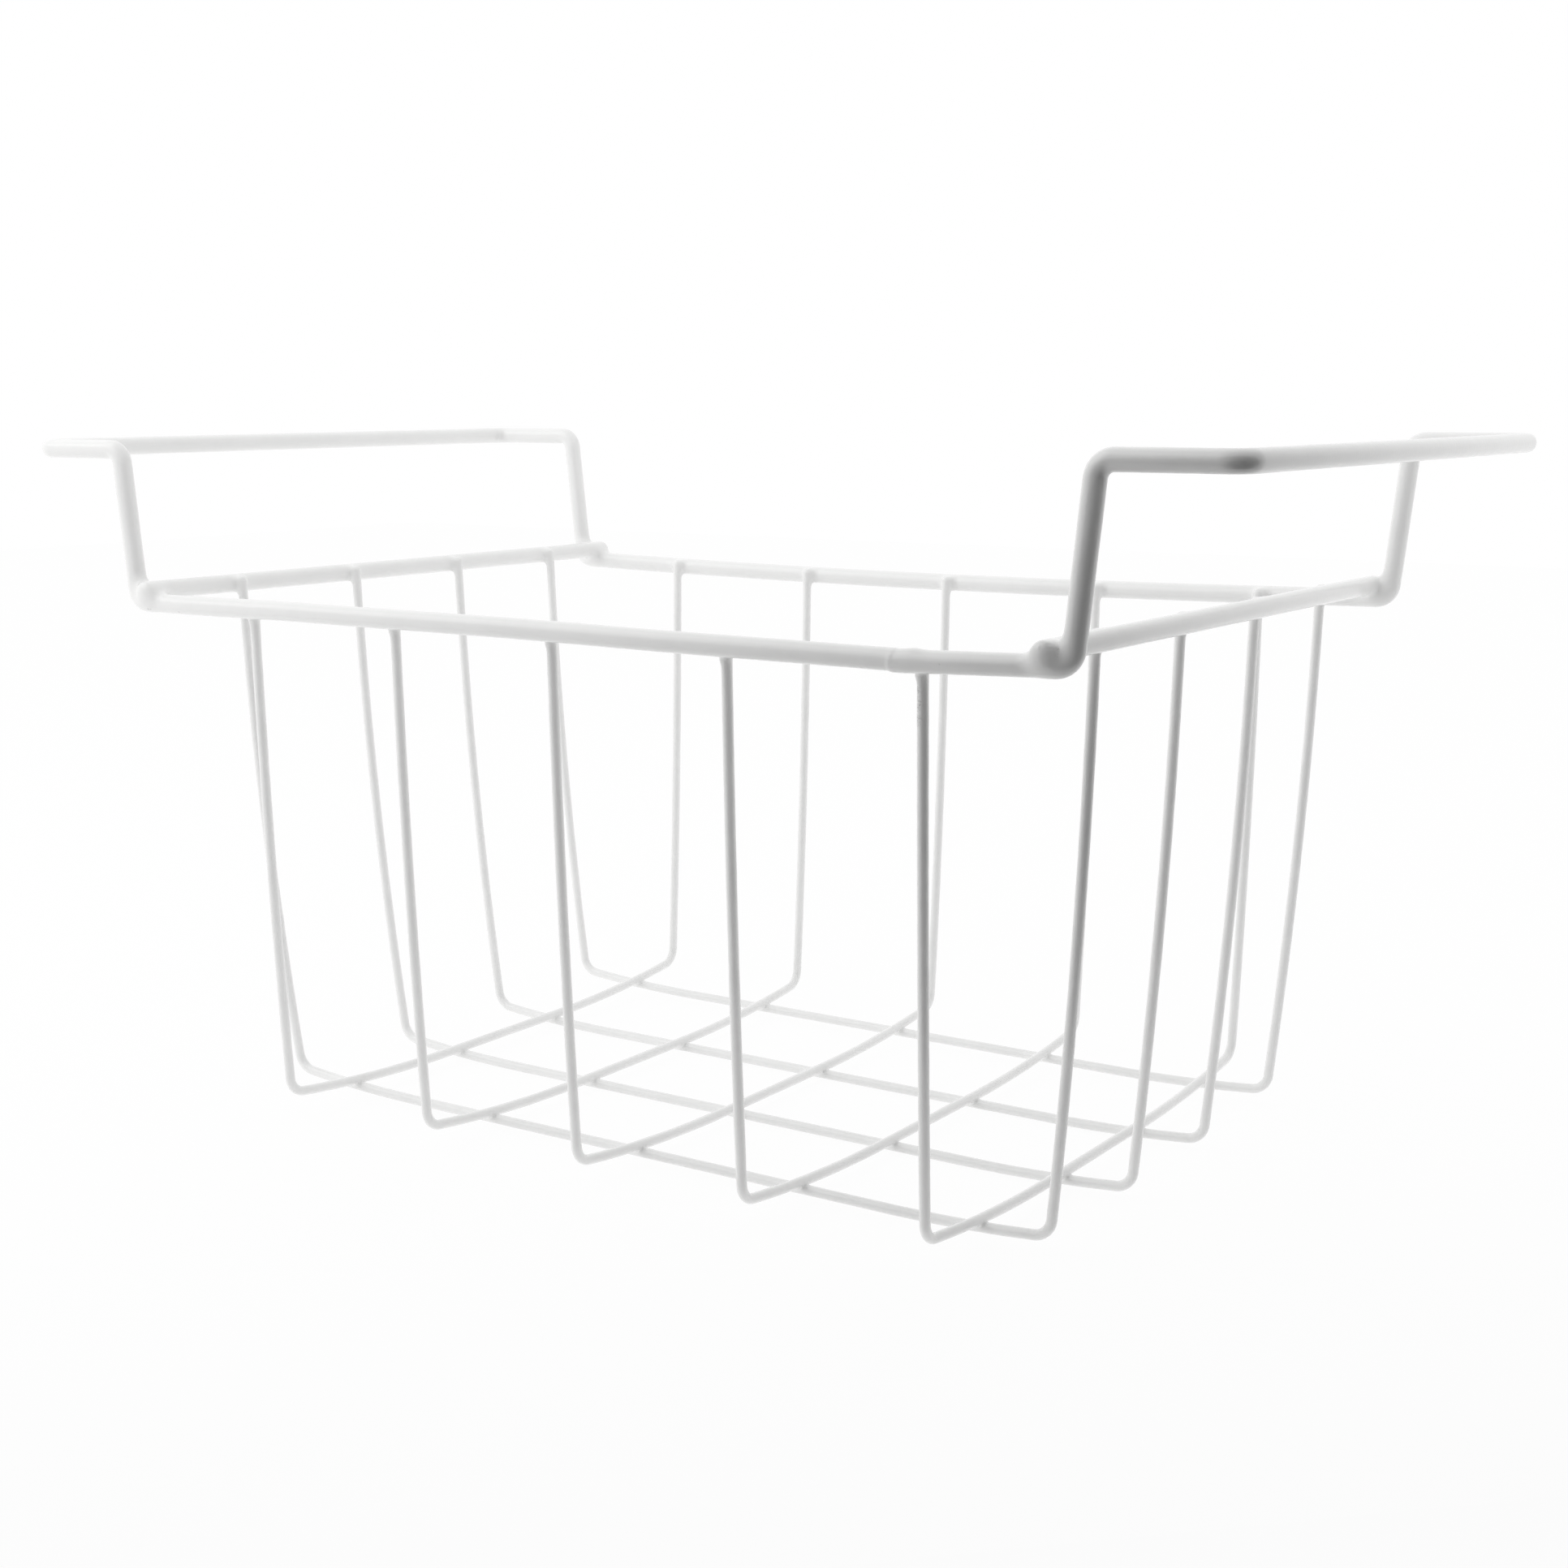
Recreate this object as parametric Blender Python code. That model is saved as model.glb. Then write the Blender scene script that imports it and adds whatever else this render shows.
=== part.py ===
"""A hanging basket for a chest freezer, bent and welded from plastic-coated steel wire.

One thick wire, closed by a butt weld, makes the rim and both hangers. Two straight rods
lie across the ends of the rim. Thin wires bent to a U make the walls and the floor: the
cross wires hang from the long rails, and the long wires hang from the end rods and pass
under the cross wires. Each wire is one solid. Where two wires are welded they are pressed
into each other, so one of them has a saddle that the other seats in.

Metres, +Z up, +X along the basket. The origin is on the ground under its middle.
"""

import math
from collections import namedtuple

import bmesh
import bpy
from mathutils import Quaternion, Vector

# Wire thicknesses, coating included, and the radii of their bends at the centre line
RIM_WIRE = 0.0072
MESH_WIRE = 0.0037
RIM_BEND = 0.006
MESH_BEND = 0.0075

# Rim, from centre line to centre line, and the height of its rails over the ground
RIM_LENGTH = 0.400
RIM_WIDTH = 0.2734
RIM_HEIGHT = 0.2013
RAIL_BOW = 0.0027
FAR_RAIL_DIP = 0.0028

# Butt weld that closes the rim wire, in the near rail
WELD_PLACE = 0.1415
WELD_LENGTH = 0.009
WELD_SWELL = 0.0004
WELD_KINK = 0.0004

# Hangers: each leg's rise and outward lean, and the reach from the leg to the bar
HANGER_RISE = 0.0603
HANGER_LEAN = 0.0066
HANGER_REACH = 0.0444

# End rods: distance in from the corners of the rim, and length past the rails' centres
ROD_INSET = 0.0077
ROD_OVERHANG = 0.0056

# Cross wires, counted along X, and long wires, counted along Y
CROSS_COUNT = 5
CROSS_PITCH = 0.0722
CROSS_SHIFT = 0.0035
CROSS_FLOOR_PITCH = 0.0715
CROSS_DRIFT = -0.0006
CROSS_DRAW_IN = 0.0067
LONG_COUNT = 4
LONG_PITCH = 0.0637
LONG_FLOOR_PITCH = 0.0622
LONG_DRIFT = 0.005
LONG_DRAW_IN = 0.0152
TIP_DROP = 0.0008

# Floor: how far its ends rise over the flat middle, and half the length of that middle
CROSS_RISE = 0.006
LONG_RISE = 0.0031
CROSS_FLAT = 0.037
LONG_FLAT = 0.109

# Welds: how deep one wire is pressed into the other, and the gap left between solids
ROD_SET_DOWN = 0.0025
TIP_SET_DOWN = 0.0004
CROSSING_SET_DOWN = 0.001
SEAT_GAP = 0.0003

# Shares: the straight part of a wall's slope, and the places of the stops along a run
WALL_STRAIGHT_SHARE = 0.41
WALL_SHARES = (0, 0.2, 0.4, 0.6, 0.8)
FLOOR_SHARES = (0.75, 0.5, 0.25, 0)
WELD_SHARES = ((-0.5, 0), (-0.2, 1), (0.2, 1), (0.5, 0))
BAR_SHARES = (-0.25, 0.25)

# Steps of the faceted surfaces
RIM_SIDES = 12
MESH_SIDES = 10
RAIL_STEPS = 8
BEND_STEPS = 6
DOME_STEPS = 3
SMOOTH_ANGLE = math.radians(40)
LEVEL_SLOPE = 0.1

# Coating
COATING_ROUGHNESS = 0.32
RIM_WHITE = (0.80, 0.80, 0.79, 1)
MESH_WHITE = (0.77, 0.77, 0.765, 1)

NEAR, FAR = -1, 1
LEFT, RIGHT = -1, 1
UP = Vector((0, 0, 1))

Stop = namedtuple("Stop", "place bend swell", defaults=(0, 0))
Ring = namedtuple("Ring", "centre along radius")

# Sizes that follow from those above
FLOOR_HEIGHT = MESH_WIRE / 2 * math.cos(math.pi / MESH_SIDES)
CROSSING_LIFT = MESH_WIRE - CROSSING_SET_DOWN
TIP_OFFSET = (RIM_WIRE + MESH_WIRE) / 2 - TIP_SET_DOWN
TIP_HEIGHT = (RIM_WIRE - MESH_WIRE) / 2 - TIP_DROP
ROD_HEIGHT = RIM_HEIGHT + RIM_WIRE - ROD_SET_DOWN
ROD_PLACE = RIM_LENGTH / 2 - ROD_INSET
CROSS_HALF = RIM_WIDTH / 2 - TIP_OFFSET - CROSS_DRAW_IN
LONG_HALF = ROD_PLACE - TIP_OFFSET - LONG_DRAW_IN


def clear_scene():
    for thing in list(bpy.data.objects):
        bpy.data.objects.remove(thing, do_unlink=True)


def coating(name, colour):
    """White plastic coating, with a soft gloss."""
    material = bpy.data.materials.new(name)
    material.use_nodes = True
    shader = material.node_tree.nodes["Principled BSDF"]
    shader.inputs["Base Color"].default_value = colour
    shader.inputs["Roughness"].default_value = COATING_ROUGHNESS
    shader.inputs["Metallic"].default_value = 0
    return material


def rail_point(x, side):
    """Centre of a long rail at x. The rails bow outwards, and the far one dips a little."""
    arch = 1 - (2 * x / RIM_LENGTH) ** 2
    z = RIM_HEIGHT
    if side == FAR:
        z -= FAR_RAIL_DIP * arch
    elif x > WELD_PLACE:
        z += WELD_KINK * (x - WELD_PLACE) / (RIM_LENGTH / 2 - WELD_PLACE)
    return Vector((x, side * (RIM_WIDTH / 2 + RAIL_BOW * arch), z))


def floor_rise(x, y):
    """Height of the floor's surface at x, y over its flat middle."""
    along = max(0, abs(x) - LONG_FLAT) / (LONG_HALF - LONG_FLAT)
    across = max(0, abs(y) - CROSS_FLAT) / (CROSS_HALF - CROSS_FLAT)
    return LONG_RISE * along**2 + CROSS_RISE * across**2


def floor_places(flat, half):
    """Places of the floor's stops between its two bends, symmetric about the middle."""
    sloped = [flat + (half - flat) * share for share in FLOOR_SHARES]
    return [*(-place for place in sloped), 0, *reversed(sloped)]


def wall_blend(share):
    """Share of a wall's draw-in that is reached at this share of its depth."""
    return WALL_STRAIGHT_SHARE * share + (1 - WALL_STRAIGHT_SHARE) * share**2


def bend_rings(stop, into, out, radius):
    """Rings round the arc that joins two straight runs at a stop."""
    angle = into.angle(out)
    axis = into.cross(out).normalized()
    start = stop.place - into * stop.bend * math.tan(angle / 2)
    centre = start + axis.cross(into) * stop.bend
    for step in range(BEND_STEPS + 1):
        turn = Quaternion(axis, angle * step / BEND_STEPS)
        yield Ring(centre + turn @ (start - centre), turn @ into, radius)


def rings_along(stops, radius, closed):
    """Rings of a wire that runs from stop to stop."""
    rings = []
    count = len(stops)
    for index, stop in enumerate(stops):
        before = stops[index - 1] if index or closed else None
        after = stops[(index + 1) % count] if index + 1 < count or closed else None
        into = (stop.place - before.place).normalized() if before else None
        out = (after.place - stop.place).normalized() if after else into
        into = into or out
        if stop.bend:
            rings.extend(bend_rings(stop, into, out, radius))
        else:
            rings.append(Ring(stop.place, (into + out).normalized(), radius + stop.swell))
    return rings


def dome_rings(end, outward):
    """Shrinking rings of a domed wire end, from its base out, without the pole."""
    for step in range(1, DOME_STEPS):
        angle = math.pi / 2 * step / DOME_STEPS
        centre = end.centre + outward * end.radius * math.sin(angle)
        yield Ring(centre, end.along, end.radius * math.cos(angle))


def carried_normal(normal, before, along):
    """The normal of the ring before, carried to this one. Where the wire runs level it points up."""
    if abs(along.z) < LEVEL_SLOPE:
        return flat_normal(along)
    return before.rotation_difference(along) @ normal


def carried_normals(rings, seed):
    """A normal for each ring, carried both ways from the level ring number seed."""
    normals = {seed: flat_normal(rings[seed].along)}
    for index in range(seed + 1, len(rings)):
        before = rings[index - 1].along
        normals[index] = carried_normal(normals[index - 1], before, rings[index].along)
    for index in range(seed - 1, -1, -1):
        before = rings[index + 1].along
        normals[index] = carried_normal(normals[index + 1], before, rings[index].along)
    return normals


def wire_mesh(name, stops, thickness, sides, closed=False):
    """Closed mesh of a wire through the stops. Its middle ring has a facet straight down."""
    rings = rings_along(stops, thickness / 2, closed)
    poles = []
    if not closed:
        first, last = rings[0], rings[-1]
        poles = [first.centre - first.along * first.radius, last.centre + last.along * last.radius]
        rings = [*reversed(list(dome_rings(first, -first.along))), *rings]
        rings = [*rings, *dome_rings(last, last.along)]
    seed = 0 if closed else len(rings) // 2
    normals = carried_normals(rings, seed)
    shape = bmesh.new()
    loops = [section(shape, ring, normals[index], sides) for index, ring in enumerate(rings)]
    pairs = list(zip(loops, loops[1:]))
    if closed:
        pairs.append((loops[-1], loops[0]))
    for one, other in pairs:
        for side in range(sides):
            after = (side + 1) % sides
            shape.faces.new((one[side], one[after], other[after], other[side]))
    for pole, loop in zip(poles, (loops[0], loops[-1])):
        tip = shape.verts.new(pole)
        for side in range(sides):
            shape.faces.new((tip, loop[side], loop[(side + 1) % sides]))
    bmesh.ops.recalc_face_normals(shape, faces=shape.faces)
    mesh = bpy.data.meshes.new(name)
    shape.to_mesh(mesh)
    shape.free()
    return mesh


def flat_normal(along):
    """The direction square to a level run that points up."""
    return (UP - along * UP.dot(along)).normalized()


def section(shape, ring, normal, sides):
    """Vertices of one ring, with a facet centred on its normal."""
    other = ring.along.cross(normal)
    loop = []
    for side in range(sides):
        angle = 2 * math.pi * (side + 1 / 2) / sides
        spoke = normal * math.cos(angle) + other * math.sin(angle)
        loop.append(shape.verts.new(ring.centre + spoke * ring.radius))
    return loop


def place_wire(name, stops, thickness, sides, material, parent, closed=False):
    """A wire as an object whose origin is the middle of its stops."""
    places = [stop.place for stop in stops]
    middle = sum(places, Vector()) / len(places)
    local = [stop._replace(place=stop.place - middle) for stop in stops]
    wire = bpy.data.objects.new(name, wire_mesh(name, local, thickness, sides, closed))
    wire.location = middle
    wire.parent = parent
    wire.data.materials.append(material)
    wire.data.shade_smooth()
    wire.data.set_sharp_from_angle(angle=SMOOTH_ANGLE)
    bpy.context.scene.collection.objects.link(wire)
    return wire


def seat_cutter(name, stops, thickness, sides, parent, closed=False):
    """The shape of a wire and the gap round it, which cuts the saddles of its neighbours."""
    wide = thickness + 2 * SEAT_GAP
    cutter = place_wire(name, stops, wide, sides, coating(name, MESH_WHITE), parent, closed)
    cutter.hide_render = True
    cutter.display_type = "WIRE"
    return cutter


def cut_saddles(wire, cutters):
    for cutter in cutters:
        saddle = wire.modifiers.new(f"saddle for {cutter.name}", "BOOLEAN")
        saddle.operation = "DIFFERENCE"
        saddle.object = cutter


def rail_stops(side):
    """Stops of a long rail between its corners, from left to right."""
    grid = [RIM_LENGTH * (step / RAIL_STEPS - 1 / 2) for step in range(1, RAIL_STEPS)]
    swells = {x: 0 for x in grid}
    if side == NEAR:
        swells = {x: 0 for x in grid if abs(x - WELD_PLACE) > WELD_LENGTH}
        for place, swell in WELD_SHARES:
            swells[WELD_PLACE + WELD_LENGTH * place] = WELD_SWELL * swell
    return [Stop(rail_point(x, side), 0, swells[x]) for x in sorted(swells)]


def hanger_stops(end):
    """Stops of one hanger, from its near corner to its far one, with the corners."""
    leg = RIM_LENGTH / 2 + HANGER_LEAN
    bar = leg + HANGER_REACH
    height = RIM_HEIGHT + HANGER_RISE
    half = RIM_WIDTH / 2
    stops = [Stop(rail_point(end * RIM_LENGTH / 2, NEAR), RIM_BEND)]
    stops.append(Stop(Vector((end * leg, NEAR * half, height)), RIM_BEND))
    stops.append(Stop(Vector((end * bar, NEAR * half, height)), RIM_BEND))
    for share in BAR_SHARES:
        stops.append(Stop(Vector((end * bar, RIM_WIDTH * share, height))))
    stops.append(Stop(Vector((end * bar, FAR * half, height)), RIM_BEND))
    stops.append(Stop(Vector((end * leg, FAR * half, height)), RIM_BEND))
    stops.append(Stop(rail_point(end * RIM_LENGTH / 2, FAR), RIM_BEND))
    return stops


def rim_stops():
    """The rim wire, once round: near rail, right hanger, far rail, left hanger."""
    near_rail = rail_stops(NEAR)
    far_rail = list(reversed(rail_stops(FAR)))
    left_hanger = list(reversed(hanger_stops(LEFT)))
    return [*near_rail, *hanger_stops(RIGHT), *far_rail, *left_hanger]


def rod_stops(end):
    """A straight rod on top of both rails."""
    reach = RIM_WIDTH / 2 + ROD_OVERHANG - RIM_WIRE / 2
    shares = (NEAR, *BAR_SHARES, FAR)
    return [Stop(Vector((end * ROD_PLACE, share * reach, ROD_HEIGHT))) for share in shares]


def wall_stops(top, corner):
    """Stops down one wall, from the domed tip to the bend at the floor."""
    stops = [Stop(top + UP * TIP_HEIGHT)]
    for share in WALL_SHARES:
        drawn = top.lerp(corner, wall_blend(share))
        level = top.lerp(corner, share)
        stops.append(Stop(Vector((drawn.x, drawn.y, level.z))))
    stops.append(Stop(corner, MESH_BEND))
    return stops


def cross_stops(number):
    """A cross wire: down from the near rail, over the floor and up to the far rail."""
    place = number - (CROSS_COUNT - 1) / 2
    top_x = CROSS_SHIFT + CROSS_PITCH * place
    floor_x = CROSS_SHIFT + CROSS_DRIFT + CROSS_FLOOR_PITCH * place
    height = FLOOR_HEIGHT + CROSSING_LIFT

    def floor_point(y):
        return Vector((floor_x, y, height + floor_rise(floor_x, y)))

    walls = []
    for side in (NEAR, FAR):
        rail = rail_point(top_x, side)
        top = rail - Vector((0, side * TIP_OFFSET, 0))
        walls.append(wall_stops(top, floor_point(side * CROSS_HALF)))
    floor = [Stop(floor_point(y)) for y in floor_places(CROSS_FLAT, CROSS_HALF)]
    return [*walls[0], *floor, *reversed(walls[1])]


def long_stops(number):
    """A long wire: down from the left rod, under the cross wires and up to the right rod."""
    place = number - (LONG_COUNT - 1) / 2
    top_y = LONG_PITCH * place
    floor_y = LONG_DRIFT + LONG_FLOOR_PITCH * place

    def floor_point(x):
        return Vector((x, floor_y, FLOOR_HEIGHT + floor_rise(x, floor_y)))

    walls = []
    for end in (LEFT, RIGHT):
        top = Vector((end * (ROD_PLACE - TIP_OFFSET), top_y, ROD_HEIGHT))
        walls.append(wall_stops(top, floor_point(end * LONG_HALF)))
    floor = [Stop(floor_point(x)) for x in floor_places(LONG_FLAT, LONG_HALF)]
    return [*walls[0], *floor, *reversed(walls[1])]


def build_rim(parent):
    stops = rim_stops()
    finish = coating("rim_coating", RIM_WHITE)
    place_wire("rim_wire", stops, RIM_WIRE, RIM_SIDES, finish, parent, closed=True)
    return seat_cutter("rim_seat", stops, RIM_WIRE, RIM_SIDES, parent, closed=True)


def build_rods(parent, rim_seat):
    seats = []
    for end, label in ((LEFT, "left"), (RIGHT, "right")):
        stops = rod_stops(end)
        finish = coating(f"{label}_rod_coating", RIM_WHITE)
        rod = place_wire(f"end_rod_{label}", stops, RIM_WIRE, RIM_SIDES, finish, parent)
        cut_saddles(rod, [rim_seat])
        seats.append(seat_cutter(f"rod_seat_{label}", stops, RIM_WIRE, RIM_SIDES, parent))
    return seats


def build_long_wires(parent, rod_seats):
    seats = []
    for number in range(LONG_COUNT):
        stops = long_stops(number)
        finish = coating(f"long_coating_{number + 1}", MESH_WHITE)
        name = f"long_wire_{number + 1}"
        wire = place_wire(name, stops, MESH_WIRE, MESH_SIDES, finish, parent)
        cut_saddles(wire, rod_seats)
        seat_name = f"long_seat_{number + 1}"
        seats.append(seat_cutter(seat_name, stops, MESH_WIRE, MESH_SIDES, parent))
    return seats


def build_cross_wires(parent, rim_seat, long_seats):
    for number in range(CROSS_COUNT):
        finish = coating(f"cross_coating_{number + 1}", MESH_WHITE)
        name = f"cross_wire_{number + 1}"
        stops = cross_stops(number)
        wire = place_wire(name, stops, MESH_WIRE, MESH_SIDES, finish, parent)
        cut_saddles(wire, [rim_seat, *long_seats])


def build_basket():
    basket = bpy.data.objects.new("basket", None)
    bpy.context.scene.collection.objects.link(basket)
    rim_seat = build_rim(basket)
    rod_seats = build_rods(basket, rim_seat)
    long_seats = build_long_wires(basket, rod_seats)
    build_cross_wires(basket, rim_seat, long_seats)


clear_scene()
build_basket()
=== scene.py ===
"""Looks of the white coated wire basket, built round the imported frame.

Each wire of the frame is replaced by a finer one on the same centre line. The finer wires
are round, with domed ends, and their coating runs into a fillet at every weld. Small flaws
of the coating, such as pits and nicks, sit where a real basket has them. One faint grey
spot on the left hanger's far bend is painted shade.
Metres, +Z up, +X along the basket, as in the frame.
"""

import logging
import math
from collections.abc import Callable, Iterable, Sequence
from dataclasses import dataclass, field
from enum import Enum

import bpy
import numpy as np
from mathutils import Matrix, Vector


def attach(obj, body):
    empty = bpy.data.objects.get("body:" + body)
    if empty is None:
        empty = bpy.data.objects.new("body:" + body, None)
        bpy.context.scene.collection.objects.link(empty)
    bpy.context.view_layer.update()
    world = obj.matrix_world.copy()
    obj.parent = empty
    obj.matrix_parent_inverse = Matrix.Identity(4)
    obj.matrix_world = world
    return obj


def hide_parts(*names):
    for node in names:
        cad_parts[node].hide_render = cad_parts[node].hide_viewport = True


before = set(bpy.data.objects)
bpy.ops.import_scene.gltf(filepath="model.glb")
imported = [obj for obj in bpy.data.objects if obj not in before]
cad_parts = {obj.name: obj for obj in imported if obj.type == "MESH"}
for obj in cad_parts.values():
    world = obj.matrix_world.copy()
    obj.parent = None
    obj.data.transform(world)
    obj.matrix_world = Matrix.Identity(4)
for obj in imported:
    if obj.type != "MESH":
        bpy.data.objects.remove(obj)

log = logging.getLogger("basket")

Point = np.ndarray
ROOT = "root"
TINY = 1e-12


class Side(Enum):
    """Long side of the basket."""

    NEAR = -1
    FAR = 1


class End(Enum):
    """Short end of the basket."""

    LEFT = -1
    RIGHT = 1


class Slot(Enum):
    """Material slot of the record."""

    FRAME = "frame_coating"
    MESH = "mesh_coating"


def point(x: float, y: float, z: float) -> Point:
    """A point or a direction as an array."""
    return np.array((x, y, z), float)


def unit(vector: np.ndarray) -> np.ndarray:
    """The vectors along the last axis at length one."""
    length = np.linalg.norm(vector, axis=-1, keepdims=True)
    return vector / np.maximum(length, TINY)


def eased(share: np.ndarray) -> np.ndarray:
    """Shares from 0 to 1 with both ends eased."""
    share = np.clip(share, 0, 1)
    return share * share * (3 - 2 * share)


@dataclass(frozen=True)
class Stop:
    """A place that a wire passes, and the radius of its bend there."""

    place: Point
    bend: float = 0.0


class CentreLine:
    """Centre line of one wire, dense enough to stand for a smooth curve."""

    ARC_STEPS = 24
    DIRECTION_REACH = 0.0002
    SEARCH_STEP = 0.001
    FIELD_MARGIN = 0.02
    FAR_OFF = 1.0
    BLOCK_ROWS = 4000
    LEAST_SQUARE = 1e-18
    TIP_SLACK = 1e-7

    def __init__(self, stops: Sequence[Stop], closed: bool = False, blunt: float = 1.0) -> None:
        """Traces the line through the stops.

        Args:
            stops: the places that the wire passes, in order.
            closed: whether the last stop joins the first.
            blunt: height of the wire's end domes as a share of its radius.
        """
        self.closed = closed
        self.blunt = blunt
        rows: list[Point] = []
        count = len(stops)
        for index, stop in enumerate(stops):
            if stop.bend:
                before = stops[index - 1].place
                after = stops[(index + 1) % count].place
                rows.extend(self._arc(before, stop, after))
            else:
                rows.append(stop.place)
        if closed:
            rows.append(rows[0])
        self.points = np.array(rows)
        steps = np.linalg.norm(np.diff(self.points, axis=0), axis=1)
        self.places = np.concatenate([[0], np.cumsum(steps)])
        self.length = float(self.places[-1])

    def _arc(self, before: Point, stop: Stop, after: Point) -> list[Point]:
        """Points round the arc that rounds off one stop.

        Args:
            before: the place before the stop.
            stop: the stop with its bend.
            after: the place after the stop.

        Returns:
            The arc's points, from the first run to the second.
        """
        into = unit(stop.place - before)
        out = unit(after - stop.place)
        angle = math.acos(float(np.clip(into @ out, -1, 1)))
        axis = unit(np.cross(into, out))
        start = stop.place - into * stop.bend * math.tan(angle / 2)
        inward = np.cross(axis, into)
        centre = start + inward * stop.bend
        turns = angle * np.linspace(0, 1, self.ARC_STEPS + 1)
        return [centre + stop.bend * (into * math.sin(t) - inward * math.cos(t)) for t in turns]

    def at(self, places: np.ndarray) -> np.ndarray:
        """Points of the line.

        Args:
            places: distances along it.

        Returns:
            One point a row.
        """
        if self.closed:
            places = places % self.length
        return np.stack([np.interp(places, self.places, self.points[:, i]) for i in range(3)], 1)

    def directions(self, places: np.ndarray) -> np.ndarray:
        """Directions of the line.

        Args:
            places: distances along it.

        Returns:
            One unit direction a row.
        """
        low, high = places - self.DIRECTION_REACH, places + self.DIRECTION_REACH
        if not self.closed:
            low, high = np.maximum(low, 0), np.minimum(high, self.length)
        return unit(self.at(high) - self.at(low))

    def nearest(self, other: "CentreLine", within: float) -> np.ndarray:
        """Distances along this line of the places where another line passes close by.

        Args:
            other: the other wire's centre line.
            within: the greatest distance between the two lines that counts.

        Returns:
            One distance along this line for each place.
        """
        places = np.arange(0, self.length, self.SEARCH_STEP)
        gaps = other.field(self.at(places))[0]
        close = gaps < within
        starts = np.flatnonzero(close & ~np.concatenate([[False], close[:-1]]))
        found = []
        for start in starts:
            end = start
            while end < len(places) and close[end]:
                end += 1
            found.append(places[start + int(np.argmin(gaps[start:end]))])
        return np.array(found)

    def cropped(self, low: Point, high: Point) -> tuple[np.ndarray, np.ndarray]:
        """The segments of the line that touch a box.

        Args:
            low: the box's lowest corner.
            high: its highest corner.

        Returns:
            The segments' start points and end points.
        """
        one, two = self.points[:-1], self.points[1:]
        touch = np.all((np.minimum(one, two) < high) & (np.maximum(one, two) > low), axis=1)
        return one[touch], two[touch]

    def field(self, places: np.ndarray) -> tuple[np.ndarray, np.ndarray]:
        """Distance from the line, and its gradient.

        Args:
            places: points in space, one a row.

        Returns:
            The distances and the directions away from the line.
        """
        low, high = places.min(0) - self.FIELD_MARGIN, places.max(0) + self.FIELD_MARGIN
        one, two = self.cropped(low, high)
        if not len(one):
            far = np.full(len(places), self.FAR_OFF)
            return far, np.tile(point(0, 0, 1), (len(places), 1))
        run = two - one
        square = np.maximum((run * run).sum(1), self.LEAST_SQUARE)
        best = np.full(len(places), np.inf)
        away = np.zeros_like(places)
        for start in range(0, len(places), self.BLOCK_ROWS):
            block = slice(start, start + self.BLOCK_ROWS)
            here = places[block]
            offset = here[:, None] - one[None]
            share = np.clip((offset * run[None]).sum(2) / square, 0, 1)
            apart = offset - share[..., None] * run[None]
            gap = np.linalg.norm(apart, axis=2)
            pick = gap.argmin(1)
            rows = np.arange(len(here))
            best[block] = gap[rows, pick]
            away[block] = apart[rows, pick]
        away = unit(away)
        if not self.closed and self.blunt < 1:
            for end, inner in ((0, 1), (-1, -2)):
                ahead = unit(self.points[end] - self.points[inner])
                self._flatten(places - self.points[end], ahead, best, away)
        return best, away

    def _flatten(
        self, offset: np.ndarray, ahead: Point, best: np.ndarray, away: np.ndarray
    ) -> None:
        """Changes the distances past one end, so that its dome is flatter than a ball.

        Args:
            offset: the points, seen from the line's end.
            ahead: the direction in which the line ends.
            best: distances, changed in place.
            away: gradients, changed in place.
        """
        past = offset @ ahead
        nearest = np.linalg.norm(offset, axis=1) < best + self.TIP_SLACK
        rows = np.flatnonzero((past > 0) & nearest)
        stretch = 1 / self.blunt - 1
        pulled = offset[rows] + ahead * (past[rows] * stretch)[:, None]
        best[rows] = np.linalg.norm(pulled, axis=1)
        slope = unit(pulled)
        away[rows] = slope + ahead * ((slope @ ahead) * stretch)[:, None]


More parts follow.
